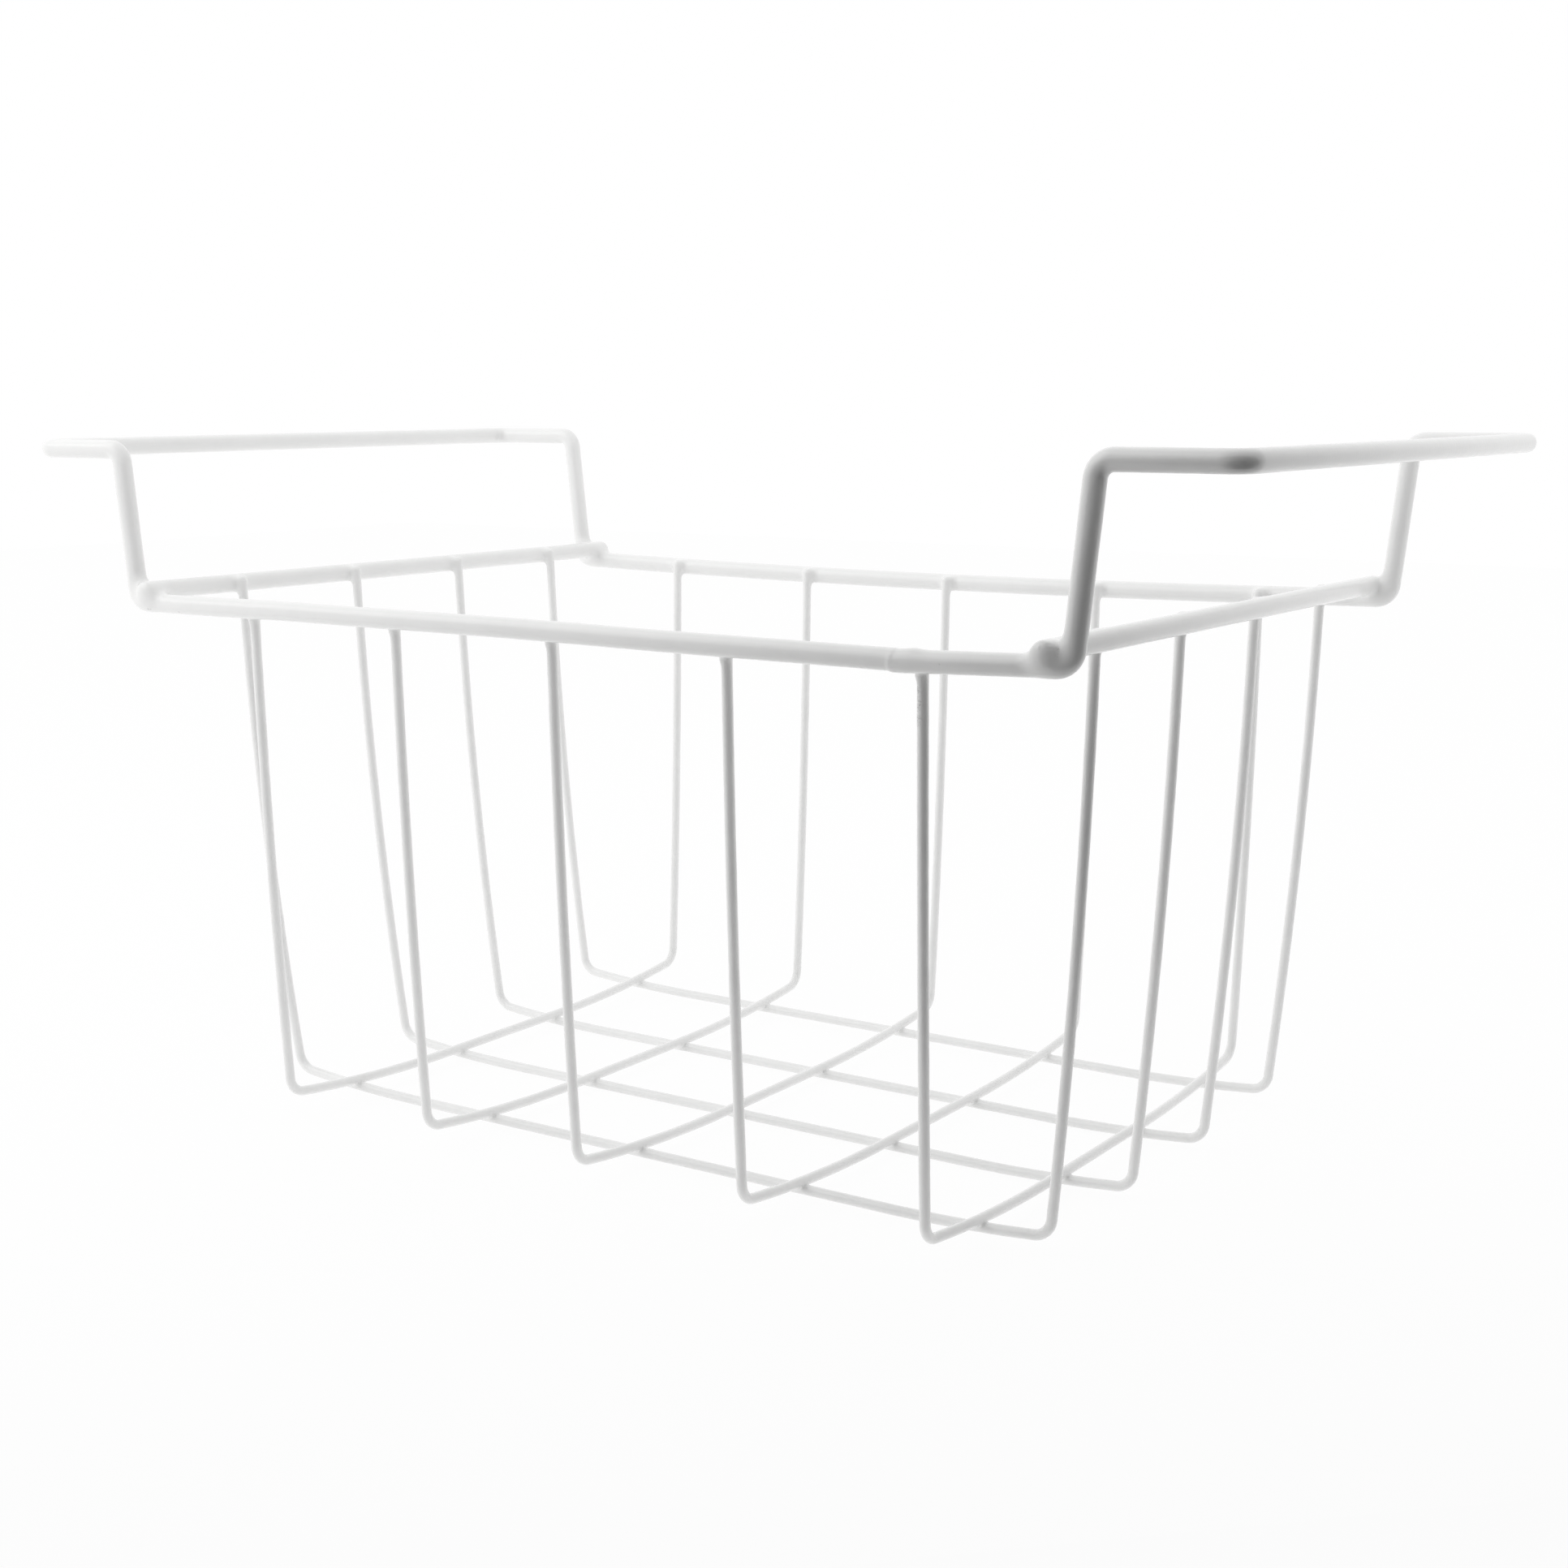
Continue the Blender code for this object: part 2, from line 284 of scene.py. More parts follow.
@dataclass(frozen=True)
class Plan:
    """Sizes that several wires of the basket share, from centre line to centre line."""

    rim_wire: float = 0.0072
    mesh_wire: float = 0.0037
    rim_bend: float = 0.006
    mesh_bend: float = 0.0075
    rim_length: float = 0.400
    rim_width: float = 0.2734
    rim_height: float = 0.2013
    rail_bow: float = 0.0027
    far_rail_dip: float = 0.0028
    near_rail_hump: float = 0.0005
    hump_start: float = -0.17
    hump_rise_length: float = 0.05
    hump_end: float = -0.03
    hump_fall_length: float = 0.09
    weld_place: float = 0.1441
    weld_kink: float = 0.0004
    weld_sag: float = 0.00075
    sag_start: float = 0.02
    sag_end_inset: float = 0.012
    weld_step: float = 0.0003
    weld_step_back: float = 0.005
    weld_step_length: float = 0.003
    rod_inset: float = 0.0077
    rod_set_down: float = 0.0025
    tip_set_down: float = 0.0004
    tip_drop: float = 0.0008
    crossing_set_down: float = 0.001
    cross_draw_in: float = 0.0067
    long_draw_in: float = 0.0152
    cross_rise: float = 0.006
    long_rise: float = 0.0031
    cross_flat: float = 0.037
    long_flat: float = 0.109
    wall_straight_share: float = 0.41
    wall_share: float = 0.9
    wall_steps: int = 36
    solid_sides: int = 10

    @property
    def tip_offset(self) -> float:
        """Distance between the centre lines of a thick wire and a tip welded to it."""
        return (self.rim_wire + self.mesh_wire) / 2 - self.tip_set_down

    @property
    def tip_height(self) -> float:
        """Height of a tip's last full section over the thick wire's centre."""
        return (self.rim_wire - self.mesh_wire) / 2 - self.tip_drop

    @property
    def rod_height(self) -> float:
        """Height of the end rods' centre lines."""
        return self.rim_height + self.rim_wire - self.rod_set_down

    @property
    def rod_place(self) -> float:
        """Distance of the end rods from the middle."""
        return self.rim_length / 2 - self.rod_inset

    @property
    def cross_half(self) -> float:
        """Distance of a cross wire's floor corners from the middle."""
        return self.rim_width / 2 - self.tip_offset - self.cross_draw_in

    @property
    def long_half(self) -> float:
        """Distance of a long wire's floor corners from the middle."""
        return self.rod_place - self.tip_offset - self.long_draw_in

    @property
    def floor_height(self) -> float:
        """Height of the long wires' centre lines over the ground, where the floor is flat."""
        return self.mesh_wire / 2 * math.cos(math.pi / self.solid_sides)

    @property
    def crossing_lift(self) -> float:
        """Height of the cross wires' centre lines over those of the long wires."""
        return self.mesh_wire - self.crossing_set_down

    def rail_point(self, x: float, side: Side) -> Point:
        """Centre of a long rail. The rails bow outwards, and the far one dips a little.

        Args:
            x: place along the basket.
            side: the side that the rail lies on.

        Returns:
            The point.
        """
        arch = 1 - (2 * x / self.rim_length) ** 2
        z = self.rim_height
        if side is Side.FAR:
            z -= self.far_rail_dip * arch
        else:
            z += self.near_rail_rise(x)
        return point(x, side.value * (self.rim_width / 2 + self.rail_bow * arch), z)

    def near_rail_rise(self, x: float) -> float:
        """Height of the near rail over the level: a slight hump, then the sag at its weld.

        Args:
            x: place along the basket.

        Returns:
            The height, below zero where the rail sags.
        """
        weld, corner = self.weld_place, self.rim_length / 2
        up = eased((x - self.hump_start) / self.hump_rise_length)
        down = eased((x - self.hump_end) / self.hump_fall_length)
        rise = self.near_rail_hump * float(up - down)
        rise += self.weld_kink * max(0.0, (x - weld) / (corner - weld))
        sag_end = corner - self.sag_end_inset
        along = float(np.clip((x - self.sag_start) / (weld - self.sag_start), 0, 1))
        level = float(np.clip((sag_end - x) / (sag_end - weld), 0, 1))
        step = float(eased((x - weld + self.weld_step_back) / self.weld_step_length))
        return rise - level * (self.weld_sag * along + self.weld_step * step)

    def floor_rise(self, x: float, y: float) -> float:
        """Height of the floor over its flat middle.

        Args:
            x: place along the basket.
            y: place across it.

        Returns:
            The height.
        """
        along = max(0.0, abs(x) - self.long_flat) / (self.long_half - self.long_flat)
        across = max(0.0, abs(y) - self.cross_flat) / (self.cross_half - self.cross_flat)
        return self.long_rise * along**2 + self.cross_rise * across**2

    def wall_stops(self, top: Point, corner: Point) -> list[Stop]:
        """Stops down one wall, from the last full section of the tip to the floor's bend.

        Args:
            top: the tip's centre at the height of the thick wire.
            corner: the corner where the wall would meet the floor.

        Returns:
            The stops, with the corner's bend last.
        """
        stops = [Stop(top + point(0, 0, self.tip_height))]
        for share in np.linspace(0, self.wall_share, self.wall_steps + 1):
            straight = self.wall_straight_share * share
            drawn = top + (corner - top) * (straight + (1 - self.wall_straight_share) * share**2)
            drawn[2] = top[2] + (corner[2] - top[2]) * share
            stops.append(Stop(drawn))
        stops.append(Stop(corner, self.mesh_bend))
        return stops


@dataclass(frozen=True)
class Lumps:
    """Slow waviness of the dipped coating, as one height over all of space."""

    seed: int = 7
    height: float = 0.00002
    waves: tuple[tuple[float, float], ...] = ((0.030, 1.0), (0.014, 0.8), (0.007, 0.45))
    per_wave: int = 5

    def at(self, places: np.ndarray) -> np.ndarray:
        """Height of the coating's waviness.

        Args:
            places: points in space, one a row.

        Returns:
            One height for each point.
        """
        chance = np.random.default_rng(self.seed)
        total = np.zeros(len(places))
        for length, share in self.waves:
            for _ in range(self.per_wave):
                direction = unit(chance.normal(size=3)) * (2 * math.pi / length)
                shift = chance.uniform(0, 2 * math.pi)
                total += share * np.sin(places @ direction + shift) / math.sqrt(self.per_wave)
        return self.height * total


@dataclass(frozen=True)
class Fillet:
    """Coating that runs from one wire into another, and how wide it is."""

    line: CentreLine
    radius: float
    blend: float


@dataclass(frozen=True)
class Dent:
    """A small dent or, where the depth is below zero, a small lump of the coating."""

    place: tuple[float, float, float]
    size: float
    depth: float


@dataclass(frozen=True)
class Collar:
    """Slight swelling round a butt weld: a lip where it starts and a soft far end."""

    place: float
    length: float
    swell: float
    lip: float
    start_run: float = 0.003
    end_run_share: float = 1.2
    lip_back: float = 0.0012
    lip_run: float = 0.001

    def at(self, places: np.ndarray, length: float) -> np.ndarray:
        """Extra radius of the wire.

        Args:
            places: distances along the closed line.
            length: the line's whole length.

        Returns:
            One extra radius for each place.
        """
        apart = (places - self.place + length / 2) % length - length / 2
        half = self.length / 2
        end_run = half * self.end_run_share
        body = eased((apart + half) / self.start_run) * eased((half - apart) / end_run)
        lip = np.exp(-(((apart + half - self.lip_back) / self.lip_run) ** 2))
        return self.swell * body + self.lip * lip


@dataclass(frozen=True)
class Dressing:
    """What lies on a wire: its coating, the fillets to its neighbours and its dents."""

    slot: Slot
    coating: bpy.types.Material
    fillets: tuple[Fillet, ...]
    dents: tuple[Dent, ...]


@dataclass
class Wire:
    """One wire's skin: a round tube on a centre line, with fillets, dents and domed ends.

    Each skin follows a fillet to its middle and runs on under the neighbour's skin.
    """

    node: str
    line: CentreLine
    radius: float
    sides: int
    dressing: Dressing
    collar: Collar | None = None
    lumps: Lumps = Lumps()
    coarse: float = 0.0016
    bend_step: float = 0.0007
    fine: float = 0.0004
    fine_reach: float = 0.0085
    dome_steps: int = 10

    # How the rings are spread: the walk along the line, and the turn that counts as a bend
    WALK = 0.0002
    TURN_STEPS = 15
    BEND_TURN = 0.12
    SPOT_MARGIN = 0.0025
    UPRIGHT = 0.9

    # How the skin is moved out to a fillet, with its reaches as shares of the fillet's width
    BOX_SHARE = 1.6
    NEAR_SHARE = 1.5
    SPREAD_SHARE = 0.4
    SPREAD_RATE = 0.6
    PASSES = 12
    LEAST_SLOPE = 0.3

    # How it runs on under its neighbour, and where the fillet's own direction shows
    OVERLAP = 0.0006
    SINK = 0.00012
    SINK_RUN = 0.0008
    LEAST_DEPTH = 0.0008
    DEPTH_SHARE = 0.36
    DEPTH_RUN = 0.001
    FACING_START = 0.0016
    FACING_RUN = 0.001

    @property
    def name(self) -> str:
        """Name of the piece."""
        return f"coated_{self.node}"

    def spots(self) -> np.ndarray:
        """Distances along the line where the skin needs fine rings.

        Returns:
            The distances, in no order.
        """
        found = []
        for fillet in self.dressing.fillets:
            within = fillet.radius + self.radius + self.SPOT_MARGIN
            found.append(self.line.nearest(fillet.line, within))
        found.append(np.array([self.collar.place] if self.collar else []))
        return np.concatenate(found)

    def ring_places(self) -> np.ndarray:
        """Distances along the line of the rings: close together at welds and in bends.

        Returns:
            The distances, in order.
        """
        grid = np.arange(0, self.line.length, self.WALK)
        step = np.full(len(grid), self.coarse)
        ahead = self.line.directions(grid)
        turn = np.roll(ahead, -self.TURN_STEPS, 0) - np.roll(ahead, self.TURN_STEPS, 0)
        step[np.linalg.norm(turn, axis=1) > self.BEND_TURN] = self.bend_step
        for spot in self.spots():
            apart = np.abs(grid - spot)
            if self.line.closed:
                apart = np.minimum(apart, self.line.length - apart)
            near = self.fine + (self.coarse - self.fine) * eased(apart / self.fine_reach - 1)
            step = np.minimum(step, near)
        density = np.concatenate([[0], np.cumsum(1 / step)]) * self.WALK
        count = int(math.ceil(density[-1]))
        places = np.append(grid, self.line.length)
        wanted = np.linspace(0, density[-1], count + 1)
        rings = np.interp(wanted, density, places)
        return rings[:-1] if self.line.closed else rings

    def frames(self, along: np.ndarray) -> np.ndarray:
        """A normal for each ring, carried along the line without twist.

        Args:
            along: the line's direction at each ring.

        Returns:
            Unit normals, square to those directions.
        """
        start = point(0, 0, 1) if abs(along[0][2]) < self.UPRIGHT else point(1, 0, 0)
        normal = unit(start - along[0] * (start @ along[0]))
        normals = [normal]
        for before, here in zip(along[:-1], along[1:]):
            normal = self._carried(normal, before, here)
            normals.append(normal)
        normals = np.array(normals)
        if not self.line.closed:
            return normals
        last = self._carried(normals[-1], along[-1], along[0])
        side = np.cross(along[0], normals[0])
        twist = math.atan2(float(last @ side), float(last @ normals[0]))
        turns = -twist * np.arange(len(along)) / len(along)
        others = np.cross(along, normals)
        return normals * np.cos(turns)[:, None] + others * np.sin(turns)[:, None]

    @staticmethod
    def _carried(normal: np.ndarray, before: np.ndarray, here: np.ndarray) -> np.ndarray:
        """Turns a normal as the line turns from one ring to the next.

        Args:
            normal: the normal at the first ring.
            before: the line's direction there.
            here: its direction at the next ring.

        Returns:
            The normal at the next ring.
        """
        axis = np.cross(before, here)
        cosine = float(before @ here)
        turned = normal * cosine + np.cross(axis, normal) + axis * (axis @ normal) / (1 + cosine)
        return unit(turned - here * (turned @ here))

    def rings(self) -> tuple[np.ndarray, np.ndarray]:
        """Rings of the skin before the coating is laid on.

        Returns:
            The wire's own radius at each ring, and each ring's points.
        """
        places = self.ring_places()
        centres = self.line.at(places)
        along = self.line.directions(places)
        radii = np.full(len(places), self.radius)
        if self.collar:
            radii = radii + self.collar.at(places, self.line.length)
        normals = self.frames(along)
        if not self.line.closed:
            angles = np.linspace(0, math.pi / 2, self.dome_steps + 1)[1:-1]
            lift = self.radius * self.line.blunt * np.sin(angles)
            slim = self.radius * np.cos(angles)
            first = centres[0] - along[0] * lift[::-1, None]
            last = centres[-1] + along[-1] * lift[:, None]
            count = len(angles)
            centres = np.concatenate([first, centres, last])
            radii = np.concatenate([slim[::-1], radii, slim])
            along = np.concatenate([[along[0]] * count, along, [along[-1]] * count])
            normals = np.concatenate([[normals[0]] * count, normals, [normals[-1]] * count])
        others = np.cross(along, normals)
        angles = 2 * math.pi * np.arange(self.sides) / self.sides
        spokes = (
            normals[:, None] * np.cos(angles)[None, :, None]
            + others[:, None] * np.sin(angles)[None, :, None]
        )
        skin = centres[:, None] + spokes * radii[:, None, None]
        own = radii if self.collar else np.full(len(centres), self.radius)
        return own, skin

    def coated(self, bare: np.ndarray, radii: np.ndarray) -> tuple[np.ndarray, np.ndarray]:
        """Lays the coating on the bare points: waviness, fillets and dents.

        Args:
            bare: points of the round skin, one a row.
            radii: the wire's own radius at each point.

        Returns:
            The points of the finished skin, and the way that the coating faces in the fillets,
            as arrows whose length is how far each point belongs to a fillet.
        """
        away = unit(self.line.field(bare)[1])
        skin = bare + away * self.lumps.at(bare)[:, None]
        facing = np.zeros_like(bare)
        for fillet in self.dressing.fillets:
            self._lay_fillet(fillet, bare, radii, skin, facing)
        for dent in self.dressing.dents:
            apart = np.linalg.norm(skin - np.array(dent.place), axis=1)
            skin -= away * (dent.depth * np.exp(-((apart / dent.size) ** 2)))[:, None]
        return skin, facing

    def _beside(self, fillet: Fillet, bare: np.ndarray) -> tuple[np.ndarray, np.ndarray]:
        """Finds the part of the skin that a fillet can reach.

        Args:
            fillet: the neighbour and the width of the fillet.
            bare: points of the round skin.

        Returns:
            Rows of the points, and their distances from the neighbour's own skin.
        """
        reach = fillet.radius + fillet.blend * self.BOX_SHARE
        low = fillet.line.points.min(0) - reach
        high = fillet.line.points.max(0) + reach
        rows = np.flatnonzero(np.all((bare > low) & (bare < high), axis=1))
        if not len(rows):
            return rows, np.empty(0)
        gap = fillet.line.field(bare[rows])[0] - fillet.radius
        near = gap < fillet.blend * self.NEAR_SHARE
        return rows[near], gap[near]

    def _lay_fillet(
        self,
        fillet: Fillet,
        bare: np.ndarray,
        radii: np.ndarray,
        skin: np.ndarray,
        facing: np.ndarray,
    ) -> None:
        """Moves the skin out to the fillet's surface, and under the neighbour past its middle.

        Args:
            fillet: the neighbour and the width of the fillet.
            bare: points of the round skin.
            radii: the wire's own radius at each point.
            skin: the finished skin, changed in place.
            facing: the way that the coating faces in the fillets, changed in place.
        """
        inside, gap = self._beside(fillet, bare)
        if not len(inside):
            return
        own_away = unit(self.line.field(bare[inside])[1])
        other_away = unit(fillet.line.field(bare[inside])[1])
        open_way = np.clip(1 + (own_away * other_away).sum(1), 0, 1)
        most = fillet.blend * self.SPREAD_SHARE
        spread = np.clip(-gap, 0, most) * open_way * self.SPREAD_RATE
        places = skin[inside] + own_away * spread[:, None]
        for _ in range(self.PASSES):
            own_gap, own_away = self.line.field(places)
            own_gap -= radii[inside]
            other_gap, other_away = fillet.line.field(places)
            other_gap -= fillet.radius
            past = (own_gap - other_gap) / fillet.blend
            under = eased((own_gap - other_gap - self.OVERLAP) / self.SINK_RUN)
            level = self.lumps.at(places) - self.SINK * under
            mix = np.clip(0.5 - 0.5 * past, 0, 1)
            height = other_gap * (1 - mix) + own_gap * mix - fillet.blend * mix * (1 - mix)
            slope = other_away * (1 - mix)[:, None] + own_away * mix[:, None]
            push = np.where(past[:, None] > 0, (own_away + other_away) / 2, slope)
            steep = np.maximum((slope * push).sum(1), self.LEAST_SLOPE)
            places -= push * ((height - level) / steep)[:, None]
        deep = max(self.LEAST_DEPTH, fillet.blend * self.DEPTH_SHARE)
        kept = eased(1 + (gap + deep) / self.DEPTH_RUN)[:, None]
        skin[inside] += kept * (places - skin[inside])
        share = eased((own_gap - other_gap + self.FACING_START) / self.FACING_RUN)
        more = share > np.linalg.norm(facing[inside], axis=1)
        facing[inside[more]] = unit(slope[more]) * share[more][:, None]

    def _faces(self, count: int) -> list[list[int]]:
        """The skin's faces, as rows of its points.

        Args:
            count: how many rings there are.

        Returns:
            Four-sided faces between the rings and, on an open wire, a fan at each end.
        """
        base = np.arange(count if self.line.closed else count - 1)[:, None] * self.sides
        side = np.arange(self.sides)[None]
        after = (side + 1) % self.sides
        upper = (base + self.sides) % (count * self.sides)
        faces = np.stack([base + side, base + after, upper + after, upper + side], 2)
        rows = faces.reshape(-1, 4).tolist()
        if self.line.closed:
            return rows
        first, last = count * self.sides, count * self.sides + 1
        top = (count - 1) * self.sides
        for step in range(self.sides):
            following = (step + 1) % self.sides
            rows.append([first, following, step])
            rows.append([last, top + step, top + following])
        return rows

    def mesh(self) -> bpy.types.Mesh:
        """The closed mesh of the wire's skin, with the fillets' own normals.

        Returns:
            The mesh.
        """
        own, skin = self.rings()
        bare = skin.reshape(-1, 3)
        radii = np.repeat(own, self.sides)
        if not self.line.closed:
            tips = self.line.at(np.array([0, self.line.length]))
            ahead = self.line.directions(np.array([0, self.line.length]))
            tips = tips + ahead * np.array([[-1.0], [1.0]]) * self.radius * self.line.blunt
            bare = np.concatenate([bare, tips])
            radii = np.append(radii, [self.radius] * 2)
        points, facing = self.coated(bare, radii)
        made = bpy.data.meshes.new(self.name)
        made.from_pydata(points.tolist(), [], self._faces(len(own)))
        made.shade_smooth()
        plain = np.empty(points.size, np.float32)
        made.vertices.foreach_get("normal", plain)
        rest = 1 - np.linalg.norm(facing, axis=1)[:, None]
        normals = unit(plain.reshape(-1, 3) * rest + facing)
        made.normals_split_custom_set_from_vertices(normals.tolist())
        return made

    def build(self) -> bpy.types.Object:
        """The wire as a piece that stands for its node of the frame.

        Returns:
            The new object.
        """
        piece = bpy.data.objects.new(self.name, self.mesh())
        bpy.context.scene.collection.objects.link(piece)
        piece.data.materials.append(self.dressing.coating)
        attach(piece, ROOT)
        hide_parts(self.node)
        return piece


class Wave:
    """A shader socket that takes part in Python arithmetic."""

    def __init__(self, graph: "Graph", socket: bpy.types.NodeSocket) -> None:
        """Wraps an output socket of the graph."""
        self.graph = graph
        self.socket = socket

    def _maths(self, operation: str, *values: "Wave | float", clamp: bool = False) -> "Wave":
        """A Math node on these values, kept from 0 to 1 where clamp is set."""
        settings = {"operation": operation, "use_clamp": clamp}
        return self.graph.node("ShaderNodeMath", settings, dict(enumerate(values)))

    def __add__(self, other: "Wave | float") -> "Wave":
        """The sum."""
        return self._maths("ADD", self, other)

    def __radd__(self, other: float) -> "Wave":
        """The sum, with the number first."""
        return self._maths("ADD", other, self)

    def __sub__(self, other: "Wave | float") -> "Wave":
        """The difference."""
        return self._maths("SUBTRACT", self, other)

    def __rsub__(self, other: float) -> "Wave":
        """The difference, with the number first."""
        return self._maths("SUBTRACT", other, self)

    def __mul__(self, other: "Wave | float") -> "Wave":
        """The product."""
        return self._maths("MULTIPLY", self, other)

    def __rmul__(self, other: float) -> "Wave":
        """The product, with the number first."""
        return self._maths("MULTIPLY", other, self)

    def highest(self, other: "Wave | float") -> "Wave":
        """The greater of the two."""
        return self._maths("MAXIMUM", self, other)

    def clamped(self) -> "Wave":
        """The value, kept from 0 to 1."""
        return self._maths("ADD", self, 0.0, clamp=True)

    def between(self, low: float, high: float) -> "Wave":
        """Eases the value from 0 to 1.

        Args:
            low: the value that becomes 0.
            high: the value that becomes 1.

        Returns:
            The eased value.
        """
        settings = {"interpolation_type": "SMOOTHSTEP"}
        sockets = {"Value": self, "From Min": low, "From Max": high}
        return self.graph.node("ShaderNodeMapRange", settings, sockets)


class Graph:
    """The node tree of one material or world."""

    def __init__(self, tree: bpy.types.NodeTree) -> None:
        """Takes a node tree and clears it."""
        self.tree = tree
        tree.nodes.clear()

    def node(
        self,
        kind: str,
        settings: dict[str, object] | None = None,
        sockets: dict[str | int, object] | None = None,
        output: str | int = 0,
    ) -> Wave:
        """Adds a node.

        Args:
            kind: the node's type.
            settings: its properties, which are set first.
            sockets: values or waves for its inputs, by name or number.
            output: the output that is wanted.

        Returns:
            That output, or the first input of a node that ends the tree.
        """
        made = self.tree.nodes.new(kind)
        for name, value in (settings or {}).items():
            setattr(made, name, value)
        for key, value in (sockets or {}).items():
            socket = made.inputs[key]
            if isinstance(value, Wave):
                self.tree.links.new(value.socket, socket)
            else:
                socket.default_value = value
        return Wave(self, made.outputs[output] if made.outputs else made.inputs[0])

    def blend_colours(self, share: Wave, one: object, two: object) -> Wave:
        """Mixes two colours: a share of 0 gives the first one and 1 the second."""
        settings = {"data_type": "RGBA", "blend_type": "MIX"}
        return self.node("ShaderNodeMix", settings, {0: share, 6: one, 7: two}, output=2)


def new_material(name: str) -> tuple[bpy.types.Material, Graph]:
    """Makes a material with an empty node tree.

    Args:
        name: the material's name.

    Returns:
        The material and its nodes.
    """
    made = bpy.data.materials.new(name)
    made.use_nodes = True
    return made, Graph(made.node_tree)


@dataclass(frozen=True)
class Fleck:
    """A mark on the coating. Flecks are dark specks, pitted patches and a grey spot of painted
    shade.
    """

    place: tuple[float, float, float]
    size: float
    strength: float = 1.0


@dataclass(frozen=True)
class Blemish:
    """What a kind of mark does to the coating: its grey, and the depth and roughness it adds."""

    grey: float
    depth: float
    roughness: float

    @property
    def colour(self) -> tuple[float, float, float, float]:
        """The grey as a colour."""
        return (self.grey, self.grey, self.grey, 1)


@dataclass(frozen=True)
class Coating:
    """White plastic coating, a little uneven in colour, gloss and surface."""

    slot: Slot
    colour: tuple[float, float, float]
    shade: tuple[float, float, float]
    roughness: tuple[float, float]
    # Dark specks in the coating, and grey spots of painted shade that share the specks' look
    specks_and_shade_spots: tuple[Fleck, ...] = ()
    pitted: tuple[Fleck, ...] = ()
    speck_and_shade_spot: Blemish = Blemish(0.05, 0.00012, 0.25)
    pit: Blemish = Blemish(0.30, 0.00006, 0.15)
    pit_share: float = 0.55
    peel_height: float = 0.000045
    grain_height: float = 0.000012
    cloud_share: float = 0.6
    raggedness: float = 0.9

    # Scale and detail of each noise
    cloud: tuple[float, float] = (55.0, 2.0)
    smear: tuple[float, float] = (210.0, 3.0)
    peel: tuple[float, float] = (620.0, 1.0)
    grain: tuple[float, float] = (2100.0, 2.0)

    # Spans over which a value is eased from 0 to 1
    tone_span: tuple[float, float] = (0.3, 0.7)
    edge_span: tuple[float, float] = (0.35, 1.0)
    pit_span: tuple[float, float] = (0.5, 0.62)

    def _near(self, graph: Graph, where: Wave, fleck: Fleck, ragged: Wave) -> Wave:
        """How strongly a mark shows: 1 in its middle and 0 outside.

        Args:
            graph: the material's nodes.
            where: places on the object.
            fleck: the mark.
            ragged: the noise that makes its edge uneven.

        Returns:
            The strength.
        """
        settings = {"operation": "DISTANCE"}
        sockets = {0: where, 1: fleck.place}
        apart = graph.node("ShaderNodeVectorMath", settings, sockets, output="Value")
        edge = apart * (1 / fleck.size) + ragged * self.raggedness - self.raggedness / 2
        return (1 - edge.between(*self.edge_span)) * fleck.strength

    def _marks(
        self, graph: Graph, where: Wave, marks: Iterable[Fleck], ragged: Wave
    ) -> Wave | None:
        """How strongly the strongest of several marks shows.

        Args:
            graph: the material's nodes.
            where: places on the object.
            marks: the marks.
            ragged: the noise that makes their edges uneven.

        Returns:
            The strength, or None where there are no marks.
        """
        total = None
        for fleck in marks:
            mark = self._near(graph, where, fleck, ragged)
            total = mark if total is None else total.highest(mark)
        return total

    def material(self) -> bpy.types.Material:
        """The coating as a material.

        Returns:
            The material, named after its slot.
        """
        made, graph = new_material(self.slot.value)
        where = graph.node("ShaderNodeTexCoord", output="Object")
        noises = []
        for scale, detail in (self.cloud, self.smear, self.peel, self.grain):
            sockets = {"Vector": where, "Scale": scale, "Detail": detail}
            noises.append(graph.node("ShaderNodeTexNoise", {}, sockets))
        cloud, smear, peel, grain = noises
        tone = (cloud * self.cloud_share + smear * (1 - self.cloud_share)).between(*self.tone_span)
        colour = graph.blend_colours(tone, (*self.shade, 1), (*self.colour, 1))
        low, high = self.roughness
        rough = low + (high - low) * smear.between(*self.tone_span)
        height = (peel - 0.5) * self.peel_height + (grain - 0.5) * self.grain_height
        # Dark specks, and a faint grey spot of painted shade, blended into the colour
        dark = self._marks(graph, where, self.specks_and_shade_spots, smear)
        if dark:
            colour = graph.blend_colours(dark, colour, self.speck_and_shade_spot.colour)
            height = height - dark * self.speck_and_shade_spot.depth
            rough = rough + dark * self.speck_and_shade_spot.roughness
        patch = self._marks(graph, where, self.pitted, smear)
        if patch:
            pits = (patch * grain.between(*self.pit_span)).clamped()
            colour = graph.blend_colours(pits * self.pit_share, colour, self.pit.colour)
            height = height - pits * self.pit.depth
            rough = rough + patch * self.pit.roughness
        sockets = {"Strength": 1.0, "Distance": 1.0, "Height": height}
        bump = graph.node("ShaderNodeBump", {}, sockets)
        sockets = {"Base Color": colour, "Roughness": rough, "Normal": bump, "IOR": 1.5}
        shader = graph.node("ShaderNodeBsdfPrincipled", {}, sockets)
        graph.node("ShaderNodeOutputMaterial", {}, {"Surface": shader})
        return made


